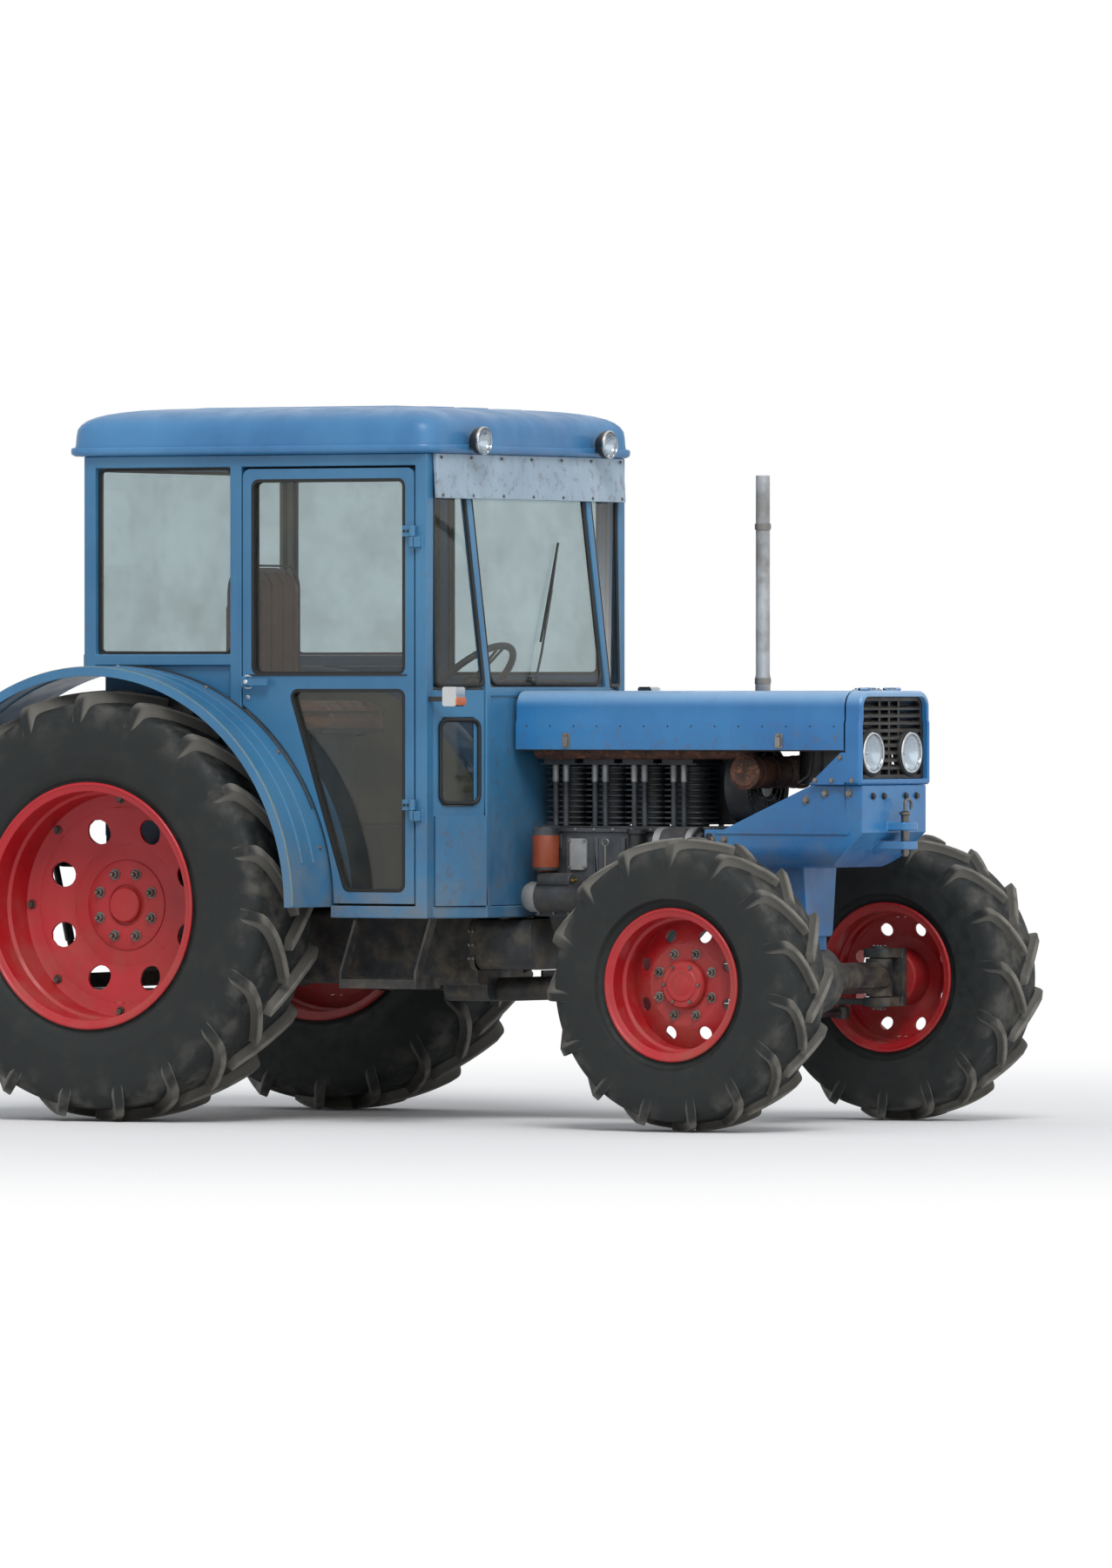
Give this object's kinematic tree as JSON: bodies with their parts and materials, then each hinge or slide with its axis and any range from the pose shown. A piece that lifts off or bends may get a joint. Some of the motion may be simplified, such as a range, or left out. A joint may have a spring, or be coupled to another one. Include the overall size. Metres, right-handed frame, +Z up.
{
  "type": "four-wheel-drive farm tractor with cab",
  "caption": "Farm tractor with a full glazed cab, an open air-cooled engine under a tilting bonnet, lugged tyres, steered front wheels and a rear three-point linkage.",
  "frame": {"origin": "on the ground under the middle of the overall length and width", "axes": "+X forward along the tractor, +Y to its left, +Z up"},
  "size_m": [3.9577, 2.02, 2.6386],
  "materials": {
    "chassis_grey": "dark grey paint over castings, oily and dusty",
    "body_blue": "blue enamel, faded and dusty",
    "cab_blue": "blue enamel, faded",
    "roof_blue": "blue enamel, chalky",
    "header_grey": "pale grey-blue paint",
    "wheel_red": "red enamel, dusty",
    "tyre": "dusty black rubber",
    "glass": "clear cab glass, slightly green",
    "engine_metal": "finned alloy, dull",
    "rust": "rusted exhaust metal",
    "black_metal": "satin black paint",
    "lamp_glass": "ribbed lamp glass",
    "seat_brown": "worn brown vinyl",
    "black_plastic": "moulded black plastic",
    "interior_beige": "beige-grey paint",
    "steel": "bare worn steel"
  },
  "bodies": {
    "chassis": {"air_cleaner": "black_metal", "battery": "black_plastic", "cab_floor": "black_metal", "cab_frame": "cab_blue", "cab_front_panels": "cab_blue", "cab_rear_panels": "cab_blue", "cab_roof": "roof_blue", "controls": "black_metal", "dashboard": "interior_beige", "drawbar": "steel", "engine_block": "chassis_grey", "engine_blower": "chassis_grey", "engine_cylinders": "engine_metal", "exhaust": "rust", "fender_left": "body_blue", "fender_right": "body_blue", "front_axle": "chassis_grey", "front_carrier": "body_blue", "front_drive_shaft": "black_metal", "fuel_tank": "black_metal", "grille": "black_metal", "headlamps": "lamp_glass", "nose_panel": "body_blue", "rear_axle_housing": "chassis_grey", "rear_windows": "glass", "seat_back": "seat_brown", "seat_base": "black_metal", "seat_cushion": "seat_brown", "steps": "black_metal", "transmission_housing": "chassis_grey", "windscreen": "glass", "windscreen_header": "header_grey", "work_lamps": "lamp_glass"},
    "wheel_rear_left": {"rim_rear_left": "wheel_red", "tyre_rear_left": "tyre"},
    "wheel_rear_right": {"rim_rear_right": "wheel_red", "tyre_rear_right": "tyre"},
    "wheel_front_left": {"rim_front_left": "wheel_red", "tyre_front_left": "tyre"},
    "wheel_front_right": {"rim_front_right": "wheel_red", "tyre_front_right": "tyre"},
    "knuckle_left": {"knuckle_left": "chassis_grey"},
    "knuckle_right": {"knuckle_right": "chassis_grey"},
    "tie_rod": {"tie_rod": "steel"},
    "door_left": {"door_left": "cab_blue", "door_left_glass": "glass"},
    "door_right": {"door_right": "cab_blue", "door_right_glass": "glass"},
    "bonnet": {"bonnet": "body_blue"},
    "steering_wheel": {"steering_wheel": "black_plastic"},
    "engine_fan": {"engine_fan": "engine_metal"},
    "lower_links": {"lower_links": "black_metal"},
    "lift_arms": {"lift_arms": "black_metal"},
    "lift_rods": {"lift_rods": "steel"}
  },
  "joints": [
    {"name": "rear_left_roll", "type": "hinge", "parent": "chassis", "child": "wheel_rear_left", "pos_m": [-1.001, 0.795, 0.795], "axis": [0, 1, 0], "continuous": true},
    {"name": "rear_right_roll", "type": "hinge", "parent": "chassis", "child": "wheel_rear_right", "pos_m": [-1.001, -0.795, 0.795], "axis": [0, 1, 0], "continuous": true},
    {"name": "steer_left", "type": "hinge", "parent": "chassis", "child": "knuckle_left", "pos_m": [1.449, 0.6, 0.53], "axis": [0, 0, 1], "range_deg": [-32, 32]},
    {"name": "steer_right", "type": "hinge", "parent": "chassis", "child": "knuckle_right", "pos_m": [1.449, -0.6, 0.53], "axis": [0, 0, 1], "range_deg": [-32, 32]},
    {"name": "tie_rod_left_eye", "type": "hinge", "parent": "knuckle_left", "child": "tie_rod", "pos_m": [1.289, 0.6, 0.398], "axis": [0, 0, 1], "range_deg": [-32, 32]},
    {"name": "front_left_roll", "type": "hinge", "parent": "knuckle_left", "child": "wheel_front_left", "pos_m": [1.449, 0.78, 0.53], "axis": [0, 1, 0], "continuous": true},
    {"name": "front_right_roll", "type": "hinge", "parent": "knuckle_right", "child": "wheel_front_right", "pos_m": [1.449, -0.78, 0.53], "axis": [0, 1, 0], "continuous": true},
    {"name": "steering_wheel_turn", "type": "hinge", "parent": "chassis", "child": "steering_wheel", "pos_m": [0.039, 0, 1.6128], "axis": [-0.6849, 0, 0.7286], "range_deg": [-353, 353]},
    {"name": "door_left_hinge", "type": "hinge", "parent": "chassis", "child": "door_left", "pos_m": [0.2415, 0.724, 1.65], "axis": [0, 0, -1], "range_deg": [0, 90]},
    {"name": "door_right_hinge", "type": "hinge", "parent": "chassis", "child": "door_right", "pos_m": [0.2415, -0.724, 1.65], "axis": [0, 0, 1], "range_deg": [0, 90]},
    {"name": "bonnet_hinge", "type": "hinge", "parent": "chassis", "child": "bonnet", "pos_m": [1.7915, 0, 1.593], "axis": [0, 1, 0], "range_deg": [0, 60]},
    {"name": "fan_spin", "type": "hinge", "parent": "chassis", "child": "engine_fan", "pos_m": [1.219, 0.095, 1.245], "axis": [1, 0, 0], "continuous": true},
    {"name": "lower_link_lift", "type": "hinge", "parent": "chassis", "child": "lower_links", "pos_m": [-1.111, 0, 0.52], "axis": [0, 1, 0], "range_deg": [-16, 28]},
    {"name": "lift_arm_turn", "type": "hinge", "parent": "chassis", "child": "lift_arms", "pos_m": [-1.216, 0, 0.975], "axis": [0, 1, 0], "range_deg": [-16, 28]},
    {"name": "lift_rod_upper_eye", "type": "hinge", "parent": "lift_arms", "child": "lift_rods", "pos_m": [-1.556, 0, 0.955], "axis": [0, 1, 0], "range_deg": [-28, 16]}
  ],
  "couplings": [
    {"joint": "steer_right", "follows": "steer_left", "ratio": 1},
    {"joint": "tie_rod_left_eye", "follows": "steer_left", "ratio": -1},
    {"joint": "steering_wheel_turn", "follows": "steer_left", "ratio": 11},
    {"joint": "lift_arm_turn", "follows": "lower_link_lift", "ratio": 1},
    {"joint": "lift_rod_upper_eye", "follows": "lower_link_lift", "ratio": -1}
  ]
}
